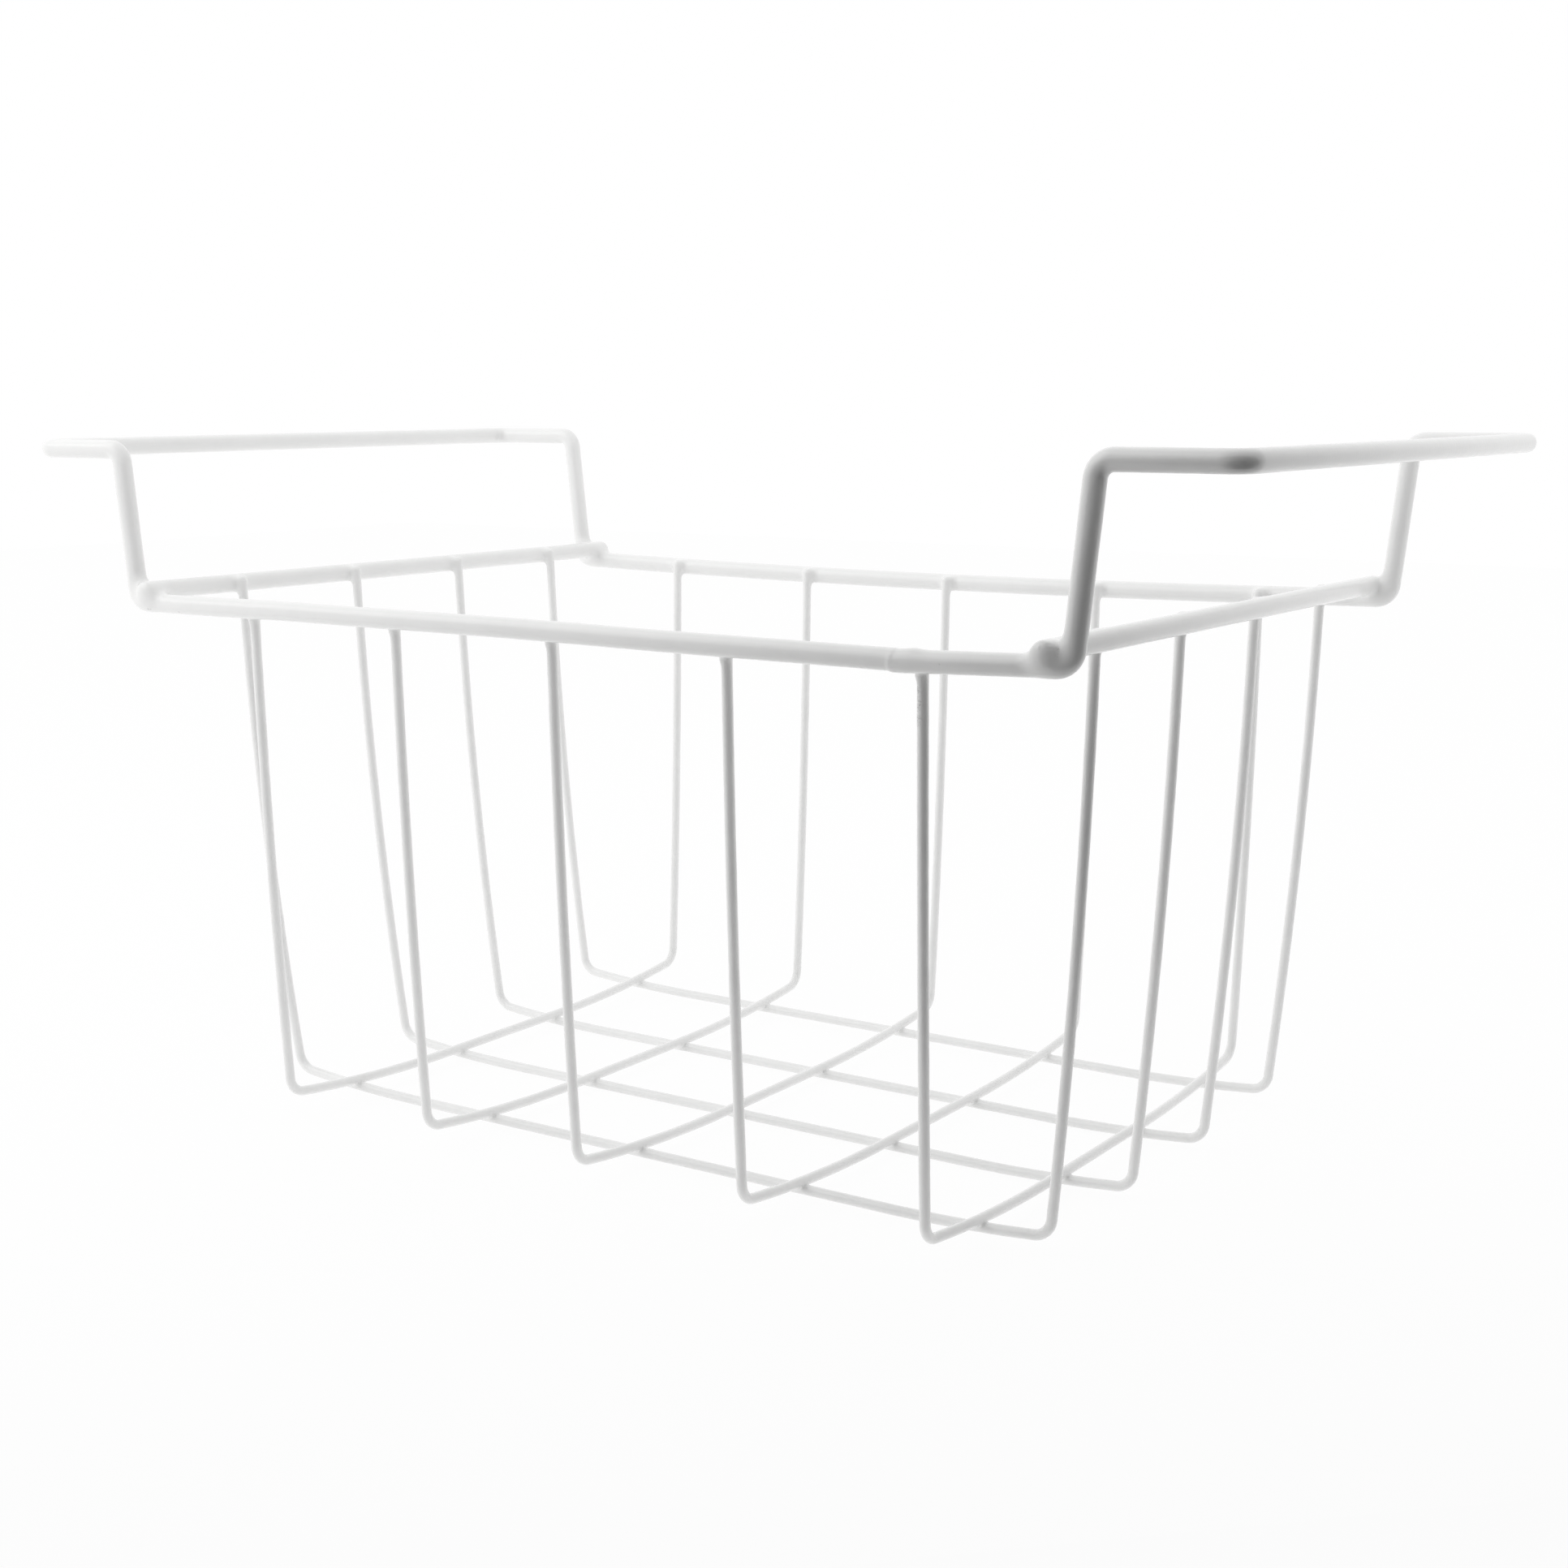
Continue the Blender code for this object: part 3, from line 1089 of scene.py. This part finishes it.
@dataclass
class Rim:
    """The closed thick wire: both rails and both hangers."""

    plan: Plan
    hanger_rise: float = 0.0603
    hanger_lean: float = 0.0066
    hanger_reach: float = 0.0444
    left_droop: tuple[float, float] = (0.0022, 0.0015)
    sides: int = 48
    rail_steps: int = 160
    corner_steps: int = 3
    weld_length: float = 0.011
    weld_swell: float = 0.00012
    weld_lip: float = 0.00015
    weld_span: tuple[float, float] = (-0.001, 0.004)
    weld_steps: int = 18

    def rail_stops(self, side: Side) -> list[Stop]:
        """Stops of one rail between its corners, denser at its weld.

        Args:
            side: the side that the rail lies on.

        Returns:
            The stops, from left to right.
        """
        half = self.plan.rim_length / 2
        inner = slice(self.corner_steps, -self.corner_steps)
        grid = np.linspace(-half, half, self.rail_steps + 1)[inner]
        if side is Side.NEAR:
            weld = self.plan.weld_place - self.plan.weld_step_back
            grid = np.union1d(grid, weld + np.linspace(*self.weld_span, self.weld_steps))
        return [Stop(self.plan.rail_point(float(x), side)) for x in grid]

    def hanger_stops(self, end: End) -> list[Stop]:
        """Stops of one hanger.

        Args:
            end: the basket's end that it lies at.

        Returns:
            The stops, from its near corner to its far one.
        """
        plan = self.plan
        leg = plan.rim_length / 2 + self.hanger_lean
        bar = leg + self.hanger_reach
        height = plan.rim_height + self.hanger_rise
        near, far = (height - drop for drop in (self.left_droop if end is End.LEFT else (0, 0)))
        half = plan.rim_width / 2
        corner = end.value * plan.rim_length / 2
        places = [
            plan.rail_point(corner, Side.NEAR),
            point(end.value * leg, -half, near),
            point(end.value * bar, -half, near),
            point(end.value * bar, half, far),
            point(end.value * leg, half, far),
            plan.rail_point(corner, Side.FAR),
        ]
        return [Stop(place, plan.rim_bend) for place in places]

    def line(self) -> CentreLine:
        """The rim's centre line.

        Returns:
            The closed line: near rail, right hanger, far rail, left hanger.
        """
        stops = [
            *self.rail_stops(Side.NEAR),
            *self.hanger_stops(End.RIGHT),
            *reversed(self.rail_stops(Side.FAR)),
            *reversed(self.hanger_stops(End.LEFT)),
        ]
        return CentreLine(stops, closed=True)

    def build(self, line: CentreLine, dressing: Dressing) -> bpy.types.Object:
        """Builds the rim.

        Args:
            line: its centre line.
            dressing: its coating, fillets and dents.

        Returns:
            The piece.
        """
        weld = self.plan.rail_point(self.plan.weld_place, Side.NEAR)
        place = float(line.places[np.linalg.norm(line.points - weld, axis=1).argmin()])
        collar = Collar(place, self.weld_length, self.weld_swell, self.weld_lip)
        radius = self.plan.rim_wire / 2
        return Wire("rim_wire", line, radius, self.sides, dressing, collar).build()


@dataclass
class EndRods:
    """The two straight rods on top of the rails."""

    plan: Plan
    overhang: float = 0.0056
    blunt: float = 0.62
    sides: int = 48
    steps: int = 60

    def line(self, end: End) -> CentreLine:
        """Centre line of one rod.

        Args:
            end: the basket's end that it lies at.

        Returns:
            The line, from the rod's near dome to its far one.
        """
        plan = self.plan
        reach = plan.rim_width / 2 + self.overhang - self.blunt * plan.rim_wire / 2
        x = end.value * plan.rod_place
        shares = np.linspace(-1, 1, self.steps + 1)
        stops = [Stop(point(x, float(s) * reach, plan.rod_height)) for s in shares]
        return CentreLine(stops, blunt=self.blunt)

    def build(self, end: End, line: CentreLine, dressing: Dressing) -> bpy.types.Object:
        """Builds the rod at one end of the basket on its centre line."""
        node = f"end_rod_{end.name.lower()}"
        return Wire(node, line, self.plan.rim_wire / 2, self.sides, dressing).build()


@dataclass
class MeshWires:
    """What the cross wires and the long wires share."""

    plan: Plan
    label: str = "mesh_wire"
    sides: int = 32
    floor_steps: int = 80
    bend_steps: int = 4
    fine_reach: float = 0.006

    def bent_line(
        self, tops: Sequence[Point], half: float, floor: Callable[[float], Point]
    ) -> CentreLine:
        """Centre line of a wire bent to a U.

        Args:
            tops: its two tips' centres at the height of the thick wires.
            half: distance of the floor's corners from the middle.
            floor: gives the wire's centre on the floor at a distance from the middle.

        Returns:
            The line, down one wall, over the floor and up the other.
        """
        corners = (floor(-half), floor(half))
        walls = [self.plan.wall_stops(top, corner) for top, corner in zip(tops, corners)]
        shares = np.linspace(0, 1, self.floor_steps + 1)[self.bend_steps : -self.bend_steps]
        flat = [Stop(floor(-half + 2 * half * float(share))) for share in shares]
        return CentreLine([*walls[0], *flat, *reversed(walls[1])])

    def build(self, number: int, line: CentreLine, dressing: Dressing) -> bpy.types.Object:
        """Builds one wire.

        Args:
            number: its place in the row, from 0.
            line: its centre line.
            dressing: its coating, fillets and dents.

        Returns:
            The piece.
        """
        node = f"{self.label}_{number + 1}"
        radius = self.plan.mesh_wire / 2
        wire = Wire(node, line, radius, self.sides, dressing, fine_reach=self.fine_reach)
        return wire.build()


@dataclass
class CrossWires(MeshWires):
    """Thin wires bent to a U across the basket, hung from the long rails."""

    label: str = "cross_wire"
    count: int = 5
    pitch: float = 0.0722
    shift: float = 0.0035
    floor_pitch: float = 0.0715
    drift: float = -0.0006

    def line(self, number: int) -> CentreLine:
        """Centre line of one cross wire.

        Args:
            number: its place along the basket, from 0.

        Returns:
            The line, from the near rail to the far one.
        """
        plan = self.plan
        place = number - (self.count - 1) / 2
        top_x = self.shift + self.pitch * place
        floor_x = self.shift + self.drift + self.floor_pitch * place
        height = plan.floor_height + plan.crossing_lift

        def floor(y: float) -> Point:
            """Centre of the wire on the floor at y."""
            return point(floor_x, y, height + plan.floor_rise(floor_x, y))

        inset = point(0, plan.tip_offset, 0)
        tops = [plan.rail_point(top_x, side) - side.value * inset for side in Side]
        return self.bent_line(tops, plan.cross_half, floor)


@dataclass
class LongWires(MeshWires):
    """Thin wires bent to a U along the basket, hung from the end rods."""

    label: str = "long_wire"
    count: int = 4
    pitch: float = 0.0637
    floor_pitch: float = 0.0622
    drift: float = 0.005

    def line(self, number: int) -> CentreLine:
        """Centre line of one long wire.

        Args:
            number: its place across the basket, from 0.

        Returns:
            The line, from the left rod to the right one.
        """
        plan = self.plan
        place = number - (self.count - 1) / 2
        top_x = plan.rod_place - plan.tip_offset
        floor_y = self.drift + self.floor_pitch * place

        def floor(x: float) -> Point:
            """Centre of the wire on the floor at x."""
            return point(x, floor_y, plan.floor_height + plan.floor_rise(x, floor_y))

        tops = [point(end.value * top_x, self.pitch * place, plan.rod_height) for end in End]
        return self.bent_line(tops, plan.long_half, floor)


@dataclass
class Basket:
    """The whole basket: its coatings, its wires and the fillets between them."""

    plan: Plan = field(default_factory=Plan)
    rim_blend: float = 0.006
    tip_blend: float = 0.0038
    crossing_blend: float = 0.0015
    drip_drop: float = 0.0004
    drip_size: float = 0.0018
    drip_height: float = 0.0007

    rim_dents: tuple[Dent, ...] = (
        Dent((0.1478, -0.1378, 0.2040), 0.0032, -0.00045),
        Dent((-0.1890, -0.1060, 0.2018), 0.0010, -0.0002),
    )
    rod_dents: tuple[Dent, ...] = (
        Dent((0.1917, -0.1421, 0.2077), 0.0005, -0.00012),
        Dent((0.1936, -0.1412, 0.2089), 0.0005, -0.00012),
        Dent((-0.1901, -0.1056, 0.2032), 0.0012, -0.0002),
        Dent((-0.1887, -0.0848, 0.2063), 0.0008, 0.0001),
    )
    cross_dents: tuple[Dent, ...] = (
        Dent((-0.1402, -0.1340, 0.1686), 0.0009, -0.00022),
        Dent((-0.1401, -0.1341, 0.1702), 0.0007, -0.00012),
    )
    long_dents: tuple[Dent, ...] = (Dent((-0.1771, -0.0907, 0.0694), 0.0012, -0.00015),)
    frame_coating: Coating = Coating(
        Slot.FRAME,
        colour=(0.875, 0.875, 0.87),
        shade=(0.855, 0.855, 0.85),
        roughness=(0.14, 0.20),
        specks_and_shade_spots=(
            Fleck((-0.1912, -0.1403, 0.1992), 0.0006, 0.5),
            Fleck((-0.1900, -0.1403, 0.1990), 0.0006, 0.45),
            Fleck((-0.1745, -0.1400, 0.1987), 0.0005, 0.2),
            Fleck((-0.1448, 0.1342, 0.1996), 0.0006, 0.15),
            Fleck((0.1584, -0.1413, 0.2005), 0.0004, 0.15),
            # Painted shade: a faint grey spot on the left hanger's far bend, not a mark in the
            # coating
            Fleck((-0.2475, 0.1294, 0.2594), 0.0022, 0.07),
        ),
    )
    mesh_coating: Coating = Coating(
        Slot.MESH,
        colour=(0.875, 0.875, 0.87),
        shade=(0.845, 0.845, 0.84),
        roughness=(0.16, 0.24),
        pitted=(
            Fleck((0.1461, -0.1347, 0.1905), 0.0028, 1.0),
            Fleck((0.1463, -0.1346, 0.1865), 0.0028, 1.0),
            Fleck((0.1465, -0.1345, 0.1818), 0.0026, 0.9),
            Fleck((0.0022, -0.1340, 0.1935), 0.0026, 0.8),
            Fleck((0.0022, -0.1338, 0.1866), 0.0026, 0.8),
            Fleck((0.0023, -0.1335, 0.1790), 0.0026, 0.8),
        ),
    )

    def drip(self, line: CentreLine) -> Dent:
        """Coating that ran down beside a cross wire's tip, just under the near rail.

        Args:
            line: the cross wire's centre line.

        Returns:
            The lump that it left.
        """
        height = self.plan.rim_height - self.plan.rim_wire / 2 - self.drip_drop
        near = line.points[line.points[:, 1] < -self.plan.rim_width / 4]
        spot = near[np.argmin(np.abs(near[:, 2] - height))]
        x, y, z = (spot - point(self.plan.mesh_wire / 2, 0, 0)).tolist()
        return Dent((x, y, z), self.drip_size, -self.drip_height)

    def build(self) -> list[bpy.types.Object]:
        """Builds and dresses every wire.

        Returns:
            The pieces: the rim, the rods, the long wires and the cross wires.
        """
        plan = self.plan
        rim, rods, cross, long = Rim(plan), EndRods(plan), CrossWires(plan), LongWires(plan)
        thick, thin = plan.rim_wire / 2, plan.mesh_wire / 2
        rim_line = rim.line()
        rod_lines = {end: rods.line(end) for end in End}
        cross_lines = [cross.line(number) for number in range(cross.count)]
        long_lines = [long.line(number) for number in range(long.count)]
        on_frame = self.frame_coating.material()
        on_mesh = self.mesh_coating.material()

        # The rim, welded to both rods and to the cross wires' tips
        to_rods = [Fillet(line, thick, self.rim_blend) for line in rod_lines.values()]
        to_cross_tips = [Fillet(line, thin, self.tip_blend) for line in cross_lines]
        fillets = (*to_rods, *to_cross_tips)
        pieces = [rim.build(rim_line, Dressing(Slot.FRAME, on_frame, fillets, self.rim_dents))]

        # The rods, welded to the rim and to the long wires' tips
        to_rim = Fillet(rim_line, thick, self.rim_blend)
        fillets = (to_rim, *(Fillet(line, thin, self.tip_blend) for line in long_lines))
        dressing = Dressing(Slot.FRAME, on_frame, fillets, self.rod_dents)
        pieces += [rods.build(end, line, dressing) for end, line in rod_lines.items()]

        # The long wires, welded to the rods and to every cross wire
        to_rods = [Fillet(line, thick, self.tip_blend) for line in rod_lines.values()]
        to_cross = [Fillet(line, thin, self.crossing_blend) for line in cross_lines]
        fillets = (*to_rods, *to_cross)
        dressing = Dressing(Slot.MESH, on_mesh, fillets, self.long_dents)
        pieces += [long.build(number, line, dressing) for number, line in enumerate(long_lines)]

        # The cross wires, welded to the rim and to every long wire
        to_rim = Fillet(rim_line, thick, self.tip_blend)
        fillets = (to_rim, *(Fillet(line, thin, self.crossing_blend) for line in long_lines))
        for number, line in enumerate(cross_lines):
            dents = (*self.cross_dents, self.drip(line))
            dressing = Dressing(Slot.MESH, on_mesh, fillets, dents)
            pieces.append(cross.build(number, line, dressing))
        return pieces


@dataclass(frozen=True)
class Lamp:
    """A flat lamp: the direction it stands in, its width and height, and its brightness."""

    name: str
    way: tuple[float, float, float]
    size: tuple[float, float]
    radiance: float


@dataclass(frozen=True)
class Card:
    """An oval black card: its place from the camera, and half its width and height."""

    name: str
    ahead: float
    right: float
    drop: float
    half: tuple[float, float]


@dataclass
class Studio:
    """Pale floor, soft light and the camera."""

    eye: tuple[float, float, float] = (0.4906, -0.7212, 0.2800)
    yaw: float = math.radians(-33.783)
    pitch: float = math.radians(9.836)
    roll: float = math.radians(0.112)
    lens: float = 51.67
    sensor: float = 36.0
    clip_start: float = 0.01
    floor_half: float = 3.0
    floor_level: float = -0.00012
    floor_grey: float = 0.9

    # The floor's own glow: its strength and share as light, and what the camera's rays add
    glow_strength: float = 1.2
    glow_share: float = 0.5
    glow_seen_share: float = 0.44

    sky: float = 0.98
    target: tuple[float, float, float] = (0.0, 0.0, 0.15)
    lamp_distance: float = 1.6
    lamps: tuple[Lamp, ...] = (
        Lamp("soft_box", (-0.5, -0.5, 0.7), (1.1, 1.0), 0.95),
        Lamp("strip_light", (-0.645, -0.645, 0.407), (1.4, 0.06), 3.0),
    )
    card: Card = Card("camera_card", 0.51, 0.06, 0.14, (0.45, 0.24))
    card_grey: float = 0.02
    card_steps: int = 64

    @staticmethod
    def _placed(name: str, data: bpy.types.ID, place: Matrix) -> bpy.types.Object:
        """Puts a new object into the scene.

        Args:
            name: its name.
            data: its mesh, lamp or camera.
            place: where it stands and how it is turned.

        Returns:
            The object.
        """
        made = bpy.data.objects.new(name, data)
        made.matrix_world = place
        bpy.context.scene.collection.objects.link(made)
        return made

    def _sheet(
        self,
        name: str,
        edge: Sequence[tuple[float, float, float]],
        material: bpy.types.Material,
        place: Matrix,
    ) -> bpy.types.Object:
        """Adds a flat sheet to the stage.

        Args:
            name: its name.
            edge: the points round its one face.
            material: its material.
            place: where it stands and how it is turned.

        Returns:
            The sheet.
        """
        mesh = bpy.data.meshes.new(name)
        mesh.from_pydata(edge, [], [tuple(range(len(edge)))])
        mesh.materials.append(material)
        made = self._placed(name, mesh, place)
        return made

    def _aimed(self, place: Vector) -> Matrix:
        """A place, turned so that its Z axis points away from the basket."""
        turn = (place - Vector(self.target)).to_track_quat("Z", "Y")
        return Matrix.Translation(place) @ turn.to_matrix().to_4x4()

    @staticmethod
    def _matt(graph: Graph, grey: float) -> Wave:
        """A matt grey shader."""
        return graph.node("ShaderNodeBsdfDiffuse", {}, {"Color": (grey, grey, grey, 1)})

    def place_camera(self) -> None:
        """Puts the camera where the photograph was taken from."""
        across, ahead = math.sin(self.yaw), math.cos(self.yaw)
        level = math.cos(self.pitch)
        forward = Vector((across * level, ahead * level, -math.sin(self.pitch)))
        right = Vector((ahead, -across, 0))
        down = forward.cross(right)
        rightward = right * math.cos(self.roll) + down * math.sin(self.roll)
        downward = down * math.cos(self.roll) - right * math.sin(self.roll)
        turn = Matrix((rightward, -downward, -forward)).transposed().to_4x4()
        data = bpy.data.cameras.new("camera")
        data.lens = self.lens
        data.sensor_width = self.sensor
        data.clip_start = self.clip_start
        place = Matrix.Translation(Vector(self.eye)) @ turn
        bpy.context.scene.camera = self._placed("camera", data, place)

    def lay_floor(self) -> None:
        """A plain white table, lit a little from within, that keeps the basket's shadow."""
        material, graph = new_material("floor_white")
        matt = self._matt(graph, self.floor_grey)
        seen = graph.node("ShaderNodeLightPath", output="Is Camera Ray")
        strength = self.glow_strength - (self.glow_strength - 1) * seen
        glow = graph.node("ShaderNodeEmission", {}, {"Color": (1, 1, 1, 1), "Strength": strength})
        share = self.glow_share + self.glow_seen_share * seen
        mixed = graph.node("ShaderNodeMixShader", {}, {0: share, 1: matt, 2: glow})
        graph.node("ShaderNodeOutputMaterial", {}, {"Surface": mixed})
        half, level = self.floor_half, self.floor_level
        corners = [(-half, -half), (half, -half), (half, half), (-half, half)]
        self._sheet("floor", [(x, y, level) for x, y in corners], material, Matrix())

    def light_world(self) -> None:
        """White surroundings: strength 1 for the camera and reflections, softer as light."""
        world = bpy.data.worlds.new("surroundings")
        bpy.context.scene.world = world
        world.use_nodes = True
        graph = Graph(world.node_tree)
        path = graph.node("ShaderNodeLightPath", output="Is Camera Ray")
        glossy = Wave(graph, path.socket.node.outputs["Is Glossy Ray"])
        through = Wave(graph, path.socket.node.outputs["Is Transmission Ray"])
        seen = path.highest(glossy).highest(through)
        strength = self.sky + (1 - self.sky) * seen
        sockets = {"Color": (1, 1, 1, 1), "Strength": strength}
        shade = graph.node("ShaderNodeBackground", {}, sockets)
        graph.node("ShaderNodeOutputWorld", {}, {"Surface": shade})

    def hang_card(self) -> None:
        """Hangs the black card, which the camera itself doesn't see."""
        card = self.card
        material, graph = new_material("card_black")
        matt = self._matt(graph, self.card_grey)
        graph.node("ShaderNodeOutputMaterial", {}, {"Surface": matt})
        across, ahead = math.sin(self.yaw), math.cos(self.yaw)
        place = Vector(self.eye)
        place += Vector((across, ahead, 0)) * card.ahead + Vector((ahead, -across, 0)) * card.right
        place.z -= card.drop
        wide, high = card.half
        turns = [2 * math.pi * step / self.card_steps for step in range(self.card_steps)]
        edge = [(wide * math.cos(turn), high * math.sin(turn), 0) for turn in turns]
        hung = self._sheet(card.name, edge, material, self._aimed(place))
        hung.visible_camera = False

    def hang_lamp(self, lamp: Lamp) -> None:
        """Hangs one lamp, aimed at the basket.

        Args:
            lamp: its direction, size and brightness.
        """
        data = bpy.data.lights.new(lamp.name, "AREA")
        data.shape = "RECTANGLE"
        data.size, data.size_y = lamp.size
        data.energy = lamp.radiance * math.pi * data.size * data.size_y
        place = Vector(self.target) + Vector(lamp.way).normalized() * self.lamp_distance
        hung = self._placed(lamp.name, data, self._aimed(place))
        hung.visible_camera = False

    def build(self) -> None:
        """Sets the whole stage."""
        bpy.context.scene.view_settings.view_transform = "Standard"
        self.place_camera()
        self.lay_floor()
        self.light_world()
        self.hang_card()
        for lamp in self.lamps:
            self.hang_lamp(lamp)


def main() -> None:
    """Builds the basket on its frame and the stage round it."""
    logging.basicConfig(level=logging.INFO, format="%(message)s")
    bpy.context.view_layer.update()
    for piece in Basket().build():
        log.info("%s: %d faces", piece.name, len(piece.data.polygons))
    Studio().build()


if __name__ == "__main__":
    main()
